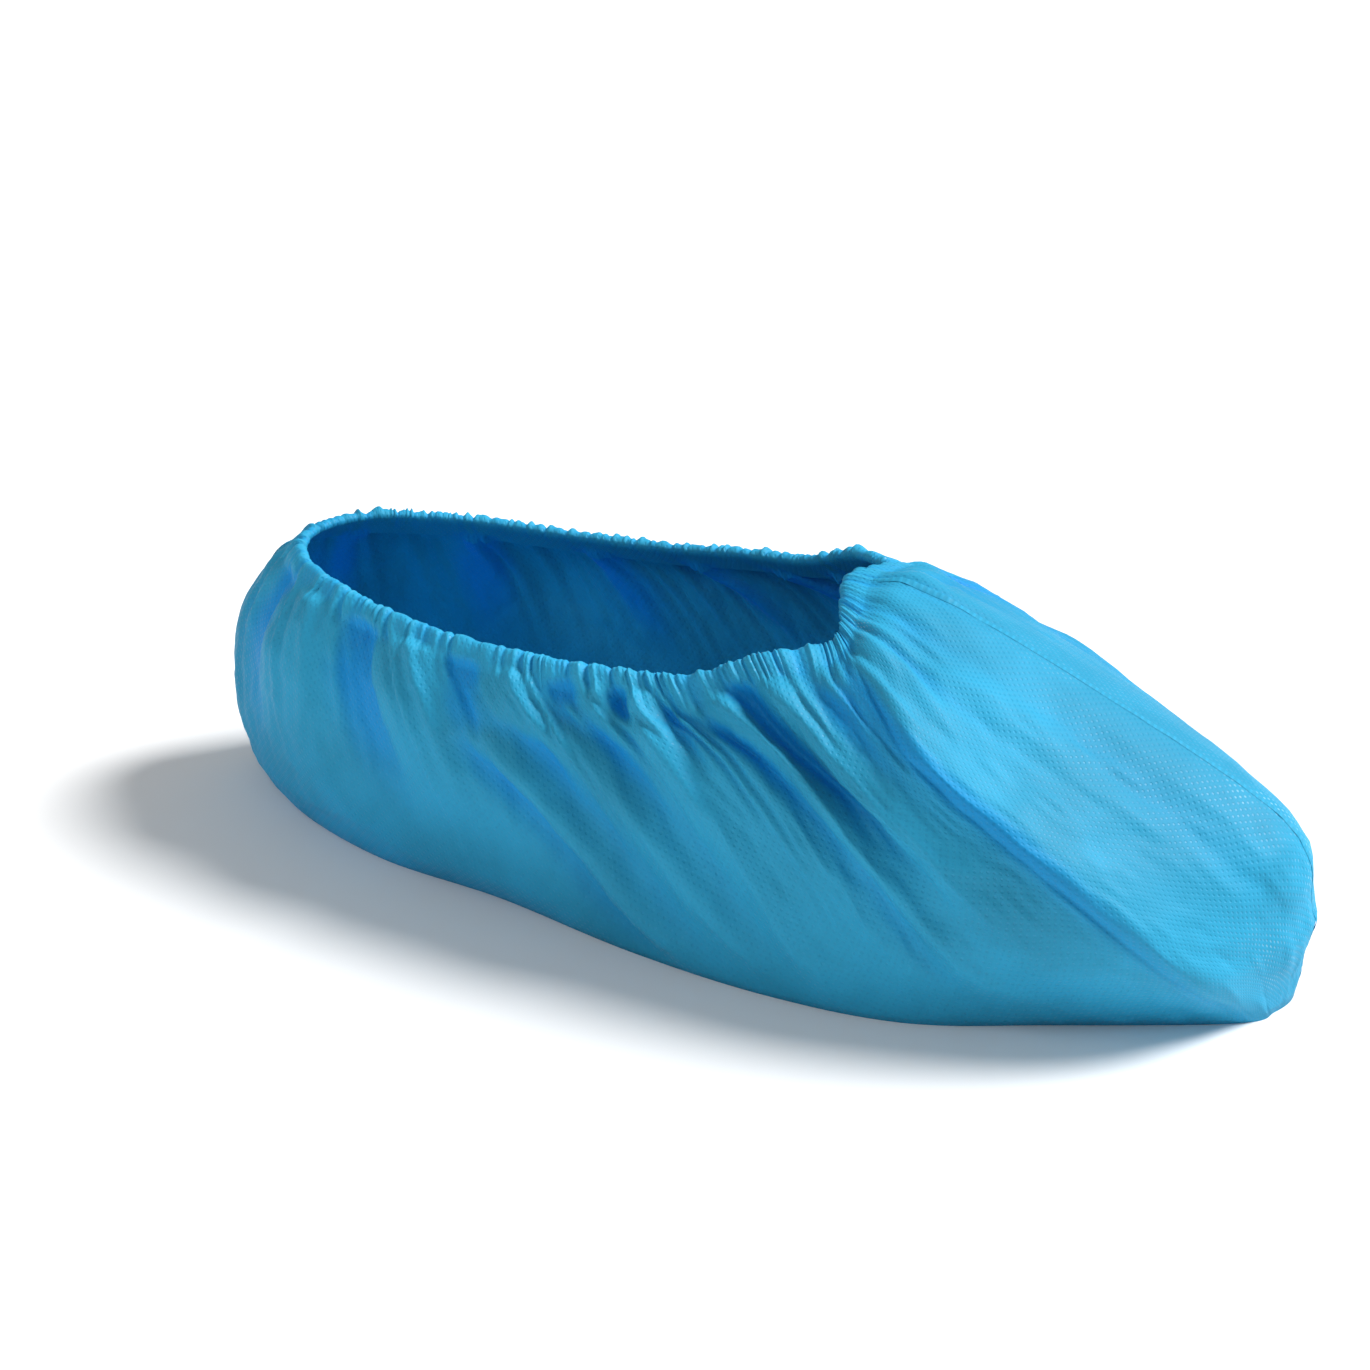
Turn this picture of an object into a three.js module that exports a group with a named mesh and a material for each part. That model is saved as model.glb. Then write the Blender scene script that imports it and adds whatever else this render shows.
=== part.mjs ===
// A disposable shoe cover of non-woven cloth, standing open as it does over a shoe.
//
// Frame: millimetres, +Z up, origin on the floor under the middle of the length.
// The toe points along +X and the heel along -X. One sheet is folded under the sole,
// welded up the toe and up the heel, and drawn in round the ankle by an elastic
// that runs inside a turned hem.
import * as THREE from 'three';
import { mergeVertices } from 'three/addons/utils/BufferGeometryUtils.js';

// ---- driving dimensions -------------------------------------------------------------
const CLOTH = 1.2;            // wall of the main sheet
const GAP = 0.3;              // clearance between neighbouring pieces
const HEM_WALL = 1.0;         // each leaf of the turned hem
const HEM_BELOW = 2.2;        // how far the hem reaches down over the edge of the sheet
const HEM_ABOVE = 4.8;        // how far it stands above that edge
const ELASTIC_THICK = 1.0;    // the flat elastic inside the hem
const ELASTIC_TALL = 3.0;
const SEAM_WIDE = 4.0;        // welded strip at the toe and at the heel
const SEAM_THICK = 0.6;
const SEAM_FLOOR = 3.0;       // the strips stop this high above the floor

const STEPS_PER_RIB = 5;      // columns of the mesh between two ribs
const ROWS = 16;              // rows of the mesh from the edge to the sole
const PLAIN_SHARE = 0.07;     // share of the wall just under the edge that carries no fold
const TENSION = 0.5;          // of every curve through the ribs
const SLOPE_STEP = 0.02;      // step, in ribs and in shares of the wall, for finding slopes
const SAME_POINT = 1e-5;      // vertices closer than this are one

// ---- the form -----------------------------------------------------------------------
// Each rib runs from the edge under the hem down to the rim of the sole, from the toe
// round one side to the heel. The other side mirrors it. Columns are x, y, z of the
// points that the rib passes on its way down.
const LEVELS = ['edge', 'neck', 'shoulder', 'belly', 'low', 'foot'];
const RIBS = [
  { name: 'toe', edge: [36, 0, 94], neck: [59, 0, 95], shoulder: [103, 0, 77],
    belly: [150, 0, 52], low: [161, 0, 27], foot: [158, 0, 0] },
  { name: 'vamp', edge: [39, 14, 92], neck: [56, 22, 90], shoulder: [91, 31, 73],
    belly: [135, 30, 47], low: [153, 21, 24], foot: [155, 9, 0] },
  { name: 'crease', edge: [40, 27, 87], neck: [49, 39, 84], shoulder: [70, 50, 71],
    belly: [102, 54, 52], low: [130, 45, 27], foot: [147, 18, 0] },
  { name: 'ball', edge: [25, 37, 84], neck: [33, 43, 77], shoulder: [50, 50, 64],
    belly: [75, 55, 43], low: [92, 53, 20], foot: [104, 38, 0] },
  { name: 'tread', edge: [8, 42, 77], neck: [14, 46, 72], shoulder: [29, 52, 64],
    belly: [49, 57, 42], low: [63, 57, 18], foot: [70, 52, 0] },
  { name: 'waist', edge: [-13, 43, 75], neck: [-9, 47, 70], shoulder: [3, 52, 61],
    belly: [18, 56, 40], low: [28, 57, 17], foot: [33, 55, 0] },
  { name: 'shank', edge: [-37, 42, 73], neck: [-35, 46, 68], shoulder: [-27, 51, 58],
    belly: [-17, 54, 38], low: [-10, 54, 15], foot: [-7, 51, 0] },
  { name: 'arch', edge: [-67, 39, 73], neck: [-66, 43, 68], shoulder: [-62, 49, 57],
    belly: [-56, 51, 36], low: [-52, 49, 14], foot: [-50, 42, 0] },
  { name: 'quarter', edge: [-98, 32, 75], neck: [-99, 36, 69], shoulder: [-100, 42, 57],
    belly: [-99, 45, 36], low: [-96, 43, 14], foot: [-92, 37, 0] },
  { name: 'counter', edge: [-123, 19, 77], neck: [-128, 22, 70], shoulder: [-135, 27, 56],
    belly: [-138, 29, 34], low: [-136, 27, 13], foot: [-130, 22, 0] },
  { name: 'heel', edge: [-133, 0, 78], neck: [-142, 0, 71], shoulder: [-155, 0, 55],
    belly: [-161, 0, 34], low: [-159, 0, 13], foot: [-152, 0, 0] },
];

// Folds in the sheet. `side` is -1 for the side at -Y and +1 for the side at +Y. `at` is
// the rib where the fold leaves the hem (a fraction lies between two ribs) and `drift`
// how many ribs it wanders on its whole way to the sole. `rise` is how far it stands out
// (or in, when it is negative), `wide` its half width in ribs, `from` and `to` where it
// starts and dies away (0 edge, 1 sole). A crisp fold has a sharp crest.
const FOLDS = [
  { side: -1, at: 2.0, drift: 0, rise: 3.2, wide: 0.3, from: PLAIN_SHARE, to: 1.0, crisp: true },
  { side: -1, at: 2.55, drift: 0, rise: -2.2, wide: 0.3, from: PLAIN_SHARE, to: 0.6 },
  { side: -1, at: 3.4, drift: -0.7, rise: 2.8, wide: 0.22, from: PLAIN_SHARE, to: 0.85 },
  { side: -1, at: 3.95, drift: -1.0, rise: -4.5, wide: 0.24, from: PLAIN_SHARE, to: 0.8 },
  { side: -1, at: 4.45, drift: -1.0, rise: 2.8, wide: 0.24, from: PLAIN_SHARE, to: 0.8 },
  { side: -1, at: 5.0, drift: -0.5, rise: -3.5, wide: 0.25, from: PLAIN_SHARE, to: 0.65 },
  { side: -1, at: 5.5, drift: -0.4, rise: 2.6, wide: 0.25, from: PLAIN_SHARE, to: 0.75 },
  { side: -1, at: 6.0, drift: 0, rise: -2.8, wide: 0.25, from: PLAIN_SHARE, to: 0.5 },
  { side: -1, at: 6.35, drift: -0.3, rise: -3.5, wide: 0.25, from: 0.35, to: 1.0 },
  { side: -1, at: 6.8, drift: 0, rise: 3.0, wide: 0.3, from: PLAIN_SHARE, to: 0.7 },
  { side: -1, at: 7.6, drift: 0, rise: -3.2, wide: 0.3, from: PLAIN_SHARE, to: 0.7 },
  { side: -1, at: 8.4, drift: 0, rise: 3.0, wide: 0.35, from: PLAIN_SHARE, to: 0.7 },
  { side: 1, at: 1.7, drift: 0, rise: -4.0, wide: 0.7, from: PLAIN_SHARE, to: 1.0 },
  { side: 1, at: 2.0, drift: 0, rise: 2.4, wide: 0.3, from: 0.2, to: 1.0, crisp: true },
  { side: 1, at: 2.8, drift: -0.4, rise: -3.5, wide: 0.3, from: PLAIN_SHARE, to: 0.7 },
  { side: 1, at: 3.6, drift: -0.6, rise: 3.0, wide: 0.28, from: PLAIN_SHARE, to: 0.75 },
  { side: 1, at: 4.3, drift: -0.6, rise: -4.0, wide: 0.28, from: PLAIN_SHARE, to: 0.75 },
  { side: 1, at: 5.1, drift: -0.4, rise: 3.0, wide: 0.3, from: PLAIN_SHARE, to: 0.7 },
  { side: 1, at: 5.9, drift: 0, rise: -3.5, wide: 0.3, from: PLAIN_SHARE, to: 0.6 },
  { side: 1, at: 6.8, drift: 0, rise: 3.0, wide: 0.3, from: PLAIN_SHARE, to: 0.7 },
  { side: 1, at: 7.6, drift: 0, rise: -3.2, wide: 0.3, from: PLAIN_SHARE, to: 0.7 },
  { side: 1, at: 8.5, drift: 0, rise: 3.0, wide: 0.35, from: PLAIN_SHARE, to: 0.7 },
];
const FADE_IN = 0.15;         // share of the wall over which a fold grows
const FULL_SHARE = 0.35;      // a fold keeps its full rise over this share of its run

// ---- materials ----------------------------------------------------------------------
function finish(color, roughness) {
  return new THREE.MeshStandardMaterial({ color, roughness, metalness: 0 });
}
const CLOTH_BLUE = finish('#3ea9dc', 0.75);
const HEM_BLUE = finish('#3a9fd2', 0.78);
const SEAM_BLUE = finish('#58bbe8', 0.55);
const ELASTIC_WHITE = finish('#e9edf0', 0.8);

// ---- the sheet's surface ------------------------------------------------------------
const LAST_RIB = RIBS.length - 1;
const RIB_COUNT = 2 * LAST_RIB;
const COLUMNS = RIB_COUNT * STEPS_PER_RIB;
const HEEL_COLUMN = COLUMNS / 2;

// One closed hoop for each level: down one side from toe to heel, back up the other.
function hoop(level) {
  const near = RIBS.map((rib) => new THREE.Vector3(rib[level][0], -rib[level][1], rib[level][2]));
  const far = RIBS.slice(1, LAST_RIB).reverse()
    .map((rib) => new THREE.Vector3(rib[level][0], rib[level][1], rib[level][2]));
  return new THREE.CatmullRomCurve3([...near, ...far], true, 'catmullrom', TENSION);
}
const HOOPS = LEVELS.map(hoop);

function smoothStep(x) {
  const t = THREE.MathUtils.clamp(x, 0, 1);
  return t * t * (3 - 2 * t);
}

// How far the folds push the sheet out at a place round the opening and down the wall.
function foldRise(round, down) {
  const half = RIB_COUNT / 2;
  const side = round <= half ? -1 : 1;
  const rib = round <= half ? round : RIB_COUNT - round;
  let rise = 0;
  for (const fold of FOLDS) {
    if (fold.side !== side) continue;
    const across = Math.abs(rib - fold.at - fold.drift * down) / fold.wide;
    const profile = fold.crisp ? Math.exp(-across) : Math.exp(-across * across);
    const fadeIn = smoothStep((down - fold.from) / FADE_IN);
    const fadeOut = 1 - smoothStep((down / fold.to - FULL_SHARE) / (1 - FULL_SHARE));
    rise += fold.rise * profile * fadeIn * fadeOut;
  }
  return rise;
}

// The smooth form without its folds.
function basePoint(round, down) {
  const points = HOOPS.map((curve) => curve.getPoint(((round / RIB_COUNT) % 1 + 1) % 1));
  const rib = new THREE.CatmullRomCurve3(points, false, 'catmullrom', TENSION);
  return rib.getPoint(down);
}

function outward(along, descent) {
  return along.clone().cross(descent).normalize();
}

// A place on the sheet with its folds, pushed out square to the smooth form.
function sheetPoint(round, down) {
  const ahead = basePoint(round + SLOPE_STEP, down);
  const along = ahead.sub(basePoint(round - SLOPE_STEP, down));
  const above = basePoint(round, Math.max(down - SLOPE_STEP, 0));
  const below = basePoint(round, Math.min(down + SLOPE_STEP, 1));
  const out = outward(along, below.sub(above));
  return basePoint(round, down).addScaledVector(out, foldRise(round, down));
}

// ---- mesh helpers -------------------------------------------------------------------
function solid(vertices, triangles) {
  const geometry = new THREE.BufferGeometry();
  const flat = vertices.flatMap((v) => [v.x, v.y, v.z]);
  geometry.setAttribute('position', new THREE.Float32BufferAttribute(flat, 3));
  geometry.setIndex(triangles.flat());
  const merged = mergeVertices(geometry, SAME_POINT);
  merged.computeVertexNormals();
  return merged;
}

// Skins a list of rings that all have the same number of points. Each ring joins the
// next, and the last joins the first when `closed` is set.
function skin(rings, closed) {
  const count = rings[0].length;
  const vertices = rings.flat();
  const triangles = [];
  const joins = closed ? rings.length : rings.length - 1;
  for (let r = 0; r < joins; r += 1) {
    const here = r * count;
    const next = ((r + 1) % rings.length) * count;
    for (let i = 0; i < count; i += 1) {
      const j = (i + 1) % count;
      triangles.push([here + i, next + i, next + j]);
      triangles.push([here + i, next + j, here + j]);
    }
  }
  return { vertices, triangles };
}

// Fills a level ring with triangles that all face up or all face down.
function flatCap(ring, firstIndex, facesUp) {
  const outline = ring.map((p) => new THREE.Vector2(p.x, p.y));
  return THREE.ShapeUtils.triangulateShape(outline, []).map((corners) => {
    const turn = THREE.ShapeUtils.area(corners.map((i) => outline[i]));
    const ordered = turn > 0 === facesUp ? corners : [...corners].reverse();
    return ordered.map((i) => firstIndex + i);
  });
}

function named(name, geometry, material) {
  const mesh = new THREE.Mesh(geometry, material);
  mesh.name = name;
  return mesh;
}

// ---- the sheet sampled once, for every piece that follows it --------------------------
const DOWNS = [0];
for (let row = 0; row < ROWS; row += 1) {
  DOWNS.push(PLAIN_SHARE + (1 - PLAIN_SHARE) * row / (ROWS - 1));
}
const POINTS = DOWNS.map((down) => (
  Array.from({ length: COLUMNS }, (_, column) => sheetPoint(column / STEPS_PER_RIB, down))
));
// The foot of every column lies on the floor.
for (const point of POINTS[ROWS]) point.z = 0;

const GRID = POINTS.map((ring, row) => ring.map((point, column) => {
  const along = ring[(column + 1) % COLUMNS].clone().sub(ring[(column + COLUMNS - 1) % COLUMNS]);
  const above = POINTS[Math.max(row - 1, 0)][column];
  const below = POINTS[Math.min(row + 1, ROWS)][column];
  return { point, out: outward(along, below.clone().sub(above)) };
}));

// ---- cover body: side walls, vamp, heel and flat sole in one folded sheet ---------------
function coverBody() {
  const outer = GRID.map((ring) => ring.map((g) => g.point.clone()));
  const inner = GRID.map((ring) => ring.map((g) => g.point.clone().addScaledVector(g.out, -CLOTH)));
  // The inner wall stops one wall above the floor, where the inside of the sole lies.
  for (let column = 0; column < COLUMNS; column += 1) {
    const out = GRID[ROWS][column].out;
    const flatOut = new THREE.Vector3(out.x, out.y, 0).normalize();
    inner[ROWS][column] = outer[ROWS][column].clone().addScaledVector(flatOut, -CLOTH);
    inner[ROWS][column].z = CLOTH;
  }
  const walls = skin([...[...outer].reverse(), ...inner], false);
  const firstInnerFoot = walls.vertices.length - COLUMNS;
  walls.triangles.push(...flatCap(outer[ROWS], 0, false));
  walls.triangles.push(...flatCap(inner[ROWS], firstInnerFoot, true));
  return solid(walls.vertices, walls.triangles);
}

// ---- pieces that ride on the edge of the sheet ------------------------------------------
// A ring whose section is given in (out, up) from the edge of the sheet.
function edgeRing(section) {
  const rings = section.map(([out, up]) => GRID[0].map((g, column) => {
    const below = GRID[1][column].point;
    const rise = g.point.clone().sub(below).normalize();
    const middle = g.point.clone().addScaledVector(g.out, -CLOTH / 2);
    return middle.addScaledVector(g.out, out).addScaledVector(rise, up);
  }));
  const { vertices, triangles } = skin(rings, true);
  return solid(vertices, triangles);
}

function gatheredHem() {
  const inside = CLOTH / 2 + GAP;
  const outside = inside + HEM_WALL;
  return edgeRing([
    [outside, HEM_ABOVE],
    [-outside, HEM_ABOVE],
    [-outside, -HEM_BELOW],
    [-inside, -HEM_BELOW],
    [-inside, HEM_ABOVE - HEM_WALL],
    [inside, HEM_ABOVE - HEM_WALL],
    [inside, -HEM_BELOW],
    [outside, -HEM_BELOW],
  ]);
}

function elasticBand() {
  const half = ELASTIC_THICK / 2;
  return edgeRing([
    [half, GAP + ELASTIC_TALL],
    [-half, GAP + ELASTIC_TALL],
    [-half, GAP],
    [half, GAP],
  ]);
}

// ---- welded strips up the toe and up the heel -------------------------------------------
function weldedSeam(column) {
  const top = GRID[0][column].point;
  const route = GRID.map((ring) => ring[column])
    .filter((g) => g.point.z > SEAM_FLOOR && g.point.distanceTo(top) > HEM_BELOW + GAP);
  const half = SEAM_WIDE / 2;
  const rings = route.map((g) => {
    const foot = g.point.clone().addScaledVector(g.out, GAP);
    const head = foot.clone().addScaledVector(g.out, SEAM_THICK);
    const side = new THREE.Vector3(0, -half * Math.sign(g.point.x), 0);
    return [
      foot.clone().add(side),
      head.clone().add(side),
      head.clone().sub(side),
      foot.clone().sub(side),
    ];
  });
  const { vertices, triangles } = skin(rings, false);
  const last = vertices.length - 4;
  triangles.push([0, 1, 2], [0, 2, 3]);
  triangles.push([last + 2, last + 1, last], [last + 3, last + 2, last]);
  return solid(vertices, triangles);
}

// ---- assembly ---------------------------------------------------------------------------
const shoeCover = new THREE.Group();
shoeCover.add(named('cover_body', coverBody(), CLOTH_BLUE));
shoeCover.add(named('gathered_hem', gatheredHem(), HEM_BLUE));
shoeCover.add(named('elastic_band', elasticBand(), ELASTIC_WHITE));
shoeCover.add(named('toe_seam', weldedSeam(0), SEAM_BLUE));
shoeCover.add(named('heel_seam', weldedSeam(HEEL_COLUMN), SEAM_BLUE));

export default shoeCover;
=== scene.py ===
# %% [markdown]
# # A disposable shoe cover
#
# The real thing is one light sheet of spunbonded non-woven cloth. It is folded under
# the sole, fused up the toe and up the heel, and drawn in round the ankle by an elastic
# that runs inside a turned hem. The CAD model already fixes its size and its form. Here
# we give it the looks: thin cloth with soft folds, a gathered hem, and the grid of small
# embossed points that holds such cloth together.

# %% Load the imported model
import math
import bpy
import numpy as np
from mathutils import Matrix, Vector
from mathutils.bvhtree import BVHTree


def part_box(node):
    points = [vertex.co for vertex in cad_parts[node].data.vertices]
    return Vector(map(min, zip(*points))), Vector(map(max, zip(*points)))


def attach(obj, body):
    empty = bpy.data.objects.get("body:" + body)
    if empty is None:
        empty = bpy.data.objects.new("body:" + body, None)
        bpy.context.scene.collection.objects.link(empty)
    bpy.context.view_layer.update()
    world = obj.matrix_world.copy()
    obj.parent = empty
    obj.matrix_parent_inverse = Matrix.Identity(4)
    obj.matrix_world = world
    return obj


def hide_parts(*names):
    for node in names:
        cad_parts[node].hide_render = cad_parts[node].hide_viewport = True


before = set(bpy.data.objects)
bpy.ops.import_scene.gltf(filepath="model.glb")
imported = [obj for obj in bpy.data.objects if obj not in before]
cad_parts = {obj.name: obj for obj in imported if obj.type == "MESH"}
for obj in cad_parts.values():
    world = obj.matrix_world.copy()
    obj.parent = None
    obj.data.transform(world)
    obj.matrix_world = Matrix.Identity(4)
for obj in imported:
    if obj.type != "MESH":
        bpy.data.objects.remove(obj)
scene = bpy.context.scene
MM = 0.001
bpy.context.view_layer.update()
body_low, body_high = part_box("cover_body")

# %% [markdown]
# ## Camera and studio
#
# The camera looks down on the cover from its toe side. We give it as an azimuth and an
# elevation about a target, because those are easy to think in. The studio is a pale floor
# under soft light. The brighter light stands behind the toe, so the vamp is bright, the
# near wall lies in gentle shade, and the crease between them shows. The room gives even
# light, and looks white where a low view reaches past the floor.

# %% Camera
VIEW_AZIMUTH = math.radians(24)
VIEW_ELEVATION = math.radians(27)
VIEW_ANGLE = math.radians(35)
VIEW_DISTANCE = 595 * MM
VIEW_TARGET = Vector((-13.1, 0.0, 54.1)) * MM


def placed(name, data):
    """A new object in the scene."""
    made = bpy.data.objects.new(name, data)
    scene.collection.objects.link(made)
    return made


backwards = Vector((
    math.sin(VIEW_AZIMUTH) * math.cos(VIEW_ELEVATION),
    -math.cos(VIEW_AZIMUTH) * math.cos(VIEW_ELEVATION),
    math.sin(VIEW_ELEVATION),
))
camera_data = bpy.data.cameras.new("studio_camera")
camera_data.angle = VIEW_ANGLE
camera_data.clip_start = 10 * MM
camera = placed("studio_camera", camera_data)
camera.location = VIEW_TARGET + backwards * VIEW_DISTANCE
camera.rotation_mode = "QUATERNION"
camera.rotation_quaternion = (-backwards).to_track_quat("-Z", "Y")
scene.camera = camera
print("camera at, mm:", [round(v / MM) for v in camera.location])

# %% Lights
WHITE = (1.0, 1.0, 1.0, 1.0)
TOWARDS_KEY = Vector((0.60, 0.35, 0.70)).normalized()
KEY_STRENGTH = 4.75
KEY_SOFTNESS = math.radians(24)
TOWARDS_FILL = Vector((-0.8, -0.7, 0.8)).normalized()
FILL_POWER = 4.2
FILL_SIZE = 0.7
FILL_DISTANCE = 1.6
ROOM_STRENGTH = 0.30


def aim(lamp, towards_light):
    """Turns a lamp to shine from this direction."""
    lamp.rotation_mode = "QUATERNION"
    lamp.rotation_quaternion = (-towards_light).to_track_quat("-Z", "Y")


key_data = bpy.data.lights.new("key_light", "SUN")
key_data.energy = KEY_STRENGTH
key_data.angle = KEY_SOFTNESS
aim(placed("key_light", key_data), TOWARDS_KEY)

fill_data = bpy.data.lights.new("fill_light", "AREA")
fill_data.shape = "DISK"
fill_data.size = FILL_SIZE
fill_data.energy = FILL_POWER
fill = placed("fill_light", fill_data)
fill.location = VIEW_TARGET + TOWARDS_FILL * FILL_DISTANCE
aim(fill, TOWARDS_FILL)

# %% Room
room = bpy.data.worlds.new("pale_room")
room.use_nodes = True
room_nodes, room_links = room.node_tree.nodes, room.node_tree.links
ambient = room_nodes["Background"]
ambient.inputs["Color"].default_value = WHITE
ambient.inputs["Strength"].default_value = ROOM_STRENGTH
backdrop = room_nodes.new("ShaderNodeBackground")
backdrop.inputs["Color"].default_value = WHITE
ray = room_nodes.new("ShaderNodeLightPath")
seen_or_lit = room_nodes.new("ShaderNodeMixShader")
room_links.new(ray.outputs["Is Camera Ray"], seen_or_lit.inputs[0])
room_links.new(ambient.outputs[0], seen_or_lit.inputs[1])
room_links.new(backdrop.outputs[0], seen_or_lit.inputs[2])
room_links.new(seen_or_lit.outputs[0], room_nodes["World Output"].inputs[0])
scene.world = room
scene.view_settings.view_transform = "Standard"
print("lights:", KEY_STRENGTH, FILL_POWER, ROOM_STRENGTH)

# %% Floor
FLOOR_HALF = 4.0
FLOOR_PAINT = (0.93, 0.93, 0.93, 1.0)
FLOOR_ROUGHNESS = 0.9
floor_mesh = bpy.data.meshes.new("studio_floor")
floor_mesh.from_pydata(
    [(x * FLOOR_HALF, y * FLOOR_HALF, 0) for x, y in ((-1, -1), (1, -1), (1, 1), (-1, 1))],
    [], [(0, 1, 2, 3)],
)
floor = placed("studio_floor", floor_mesh)
floor_paint = bpy.data.materials.new("pale_floor_paint")
floor_paint.use_nodes = True
floor_shader = floor_paint.node_tree.nodes["Principled BSDF"]
floor_shader.inputs["Base Color"].default_value = FLOOR_PAINT
floor_shader.inputs["Roughness"].default_value = FLOOR_ROUGHNESS
floor_mesh.materials.append(floor_paint)
print("floor", 2 * FLOOR_HALF, "m across")

# %% [markdown]
# ## The ribs of the form
#
# A sheet that wraps a shoe has no flat sides, so we describe it as a boat builder would,
# with ribs. Each rib starts at the edge of the cloth, under the hem, and comes down to
# the rim of the sole. Near the toe the ribs lean forwards over the vamp. A smooth curve
# through all the ribs at one level is a hoop, and a curve down through the hoops gives
# any place on the cloth. The numbers are millimetres, and the whole form is then fitted
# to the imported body, which has the last word on size.

# %% Ribs
LEVELS = 6
RIBS = {
    # name: (x, y, z) at edge, neck, shoulder, belly, low and foot
    "toe": ((36, 0, 94), (59, 0, 95), (103, 0, 77), (150, 0, 52), (161, 0, 27), (158, 0, 0)),
    "vamp": ((39, 14, 92), (56, 22, 90), (91, 31, 73), (135, 30, 47), (153, 21, 24), (155, 9, 0)),
    "crease": ((40, 27, 87), (49, 39, 84), (70, 50, 71), (102, 54, 52), (130, 45, 27),
               (147, 18, 0)),
    "ball": ((25, 37, 84), (33, 43, 77), (50, 50, 64), (75, 55, 43), (92, 53, 20), (104, 38, 0)),
    "tread": ((8, 42, 77), (14, 46, 72), (29, 52, 64), (49, 57, 42), (63, 57, 18), (70, 52, 0)),
    "waist": ((-13, 43, 75), (-9, 47, 70), (3, 52, 61), (18, 56, 40), (28, 57, 17), (33, 55, 0)),
    "shank": ((-37, 42, 73), (-35, 46, 68), (-27, 51, 58), (-17, 54, 38), (-10, 54, 15),
              (-7, 51, 0)),
    "arch": ((-67, 39, 73), (-66, 43, 68), (-62, 49, 57), (-56, 51, 36), (-52, 49, 14),
             (-50, 42, 0)),
    "quarter": ((-98, 32, 75), (-99, 36, 69), (-100, 42, 57), (-99, 45, 36), (-96, 43, 14),
                (-92, 37, 0)),
    "counter": ((-123, 19, 77), (-128, 22, 70), (-135, 27, 56), (-138, 29, 34), (-136, 27, 13),
                (-130, 22, 0)),
    "heel": ((-133, 0, 78), (-142, 0, 71), (-155, 0, 55), (-161, 0, 34), (-159, 0, 13),
             (-152, 0, 0)),
}
rib_points = np.array(list(RIBS.values()), float) * MM
HALF_ROUND = len(rib_points) - 1
ROUND = 2 * HALF_ROUND
print(ROUND, "ribs all the way round")


def curve(before, start, end, after, t):
    """A smooth curve from start to end, at the share t of the way."""
    leave, arrive = (end - before) / 2, (after - start) / 2
    square = -3 * start + 3 * end - 2 * leave - arrive
    cube = 2 * start - 2 * end + leave + arrive
    return start + leave * t + square * t**2 + cube * t**3


rib_ring = np.concatenate([rib_points * (1, -1, 1), rib_points[1:-1][::-1]])


def raw_form(rounds, downs):
    """Places on the form. Rounds count ribs from the toe round the near side, downs go 0 to 1."""
    rounds, downs = np.broadcast_arrays(rounds, downs)
    place = rounds.ravel() % ROUND
    rib = np.floor(place).astype(int)
    t = (place - rib)[:, None, None]
    hoops = curve(*(rib_ring[(rib + k) % ROUND] for k in (-1, 0, 1, 2)), t)
    before, after = 2 * hoops[:, :1] - hoops[:, 1:2], 2 * hoops[:, -1:] - hoops[:, -2:-1]
    longer = np.concatenate([before, hoops, after], axis=1)
    height = np.clip(downs.ravel(), 0, 1) * (LEVELS - 1)
    level = np.clip(np.floor(height).astype(int), 0, LEVELS - 2)
    stations = longer[np.arange(len(level))[:, None], level[:, None] + np.arange(4)]
    spots = curve(*stations.transpose(1, 0, 2), (height - level)[:, None])
    return spots.reshape(rounds.shape + (3,))


every_round = np.linspace(0, ROUND, 401)
every_down = np.linspace(0, 1, 201)
whole_form = raw_form(every_round[None, :], every_down[:, None])
form_scale = (body_high.x - body_low.x) / np.ptp(whole_form[..., 0])
form_shift = body_low.x - whole_form[..., 0].min() * form_scale


def form_at(rounds, downs):
    """Places on the form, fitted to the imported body's length."""
    return raw_form(rounds, downs) * form_scale + (form_shift, 0, 0)


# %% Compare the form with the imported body
fitted_form = form_at(every_round[None, :], every_down[:, None])
body_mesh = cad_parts["cover_body"].data
body_tree = BVHTree.FromPolygons(
    [v.co for v in body_mesh.vertices], [p.vertices for p in body_mesh.polygons])
compared = fitted_form.reshape(-1, 3)[::23]
misses = [body_tree.find_nearest(Vector(p))[3] for p in compared]
print("form scale", round(form_scale, 4), "mean distance to the body, mm",
      round(float(np.mean(misses)) / MM, 2), "largest", round(max(misses) / MM, 2))

# %% [markdown]
# ## Depth below the edge
#
# The levels are further apart at the toe than at the sides, so a share of the way down
# isn't a length, and a hem is made with a tape measure. We add the length up along each
# column once, and read the table in both directions.

# %% Depth table
depth_table = np.concatenate([
    np.zeros((1, len(every_round))),
    np.cumsum(np.linalg.norm(np.diff(fitted_form, axis=0), axis=2), axis=0),
])


def depth_columns(rounds):
    """The depth table's columns at these rounds, one for each."""
    at = (np.ravel(rounds) % ROUND) / ROUND * (len(every_round) - 1)
    left = np.minimum(at.astype(int), len(every_round) - 2)
    share = at - left
    return depth_table[:, left] * (1 - share) + depth_table[:, left + 1] * share


def depth_of(rounds, downs):
    """How far below the edge of the cloth a place is, along its column."""
    rounds, downs = np.broadcast_arrays(rounds, downs)
    columns = depth_columns(rounds)
    at = np.clip(downs.ravel(), 0, 1) * (len(every_down) - 1)
    upper = np.minimum(at.astype(int), len(every_down) - 2)
    pick = np.arange(len(upper))
    share = at - upper
    found = columns[upper, pick] * (1 - share) + columns[upper + 1, pick] * share
    return found.reshape(rounds.shape)


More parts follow.
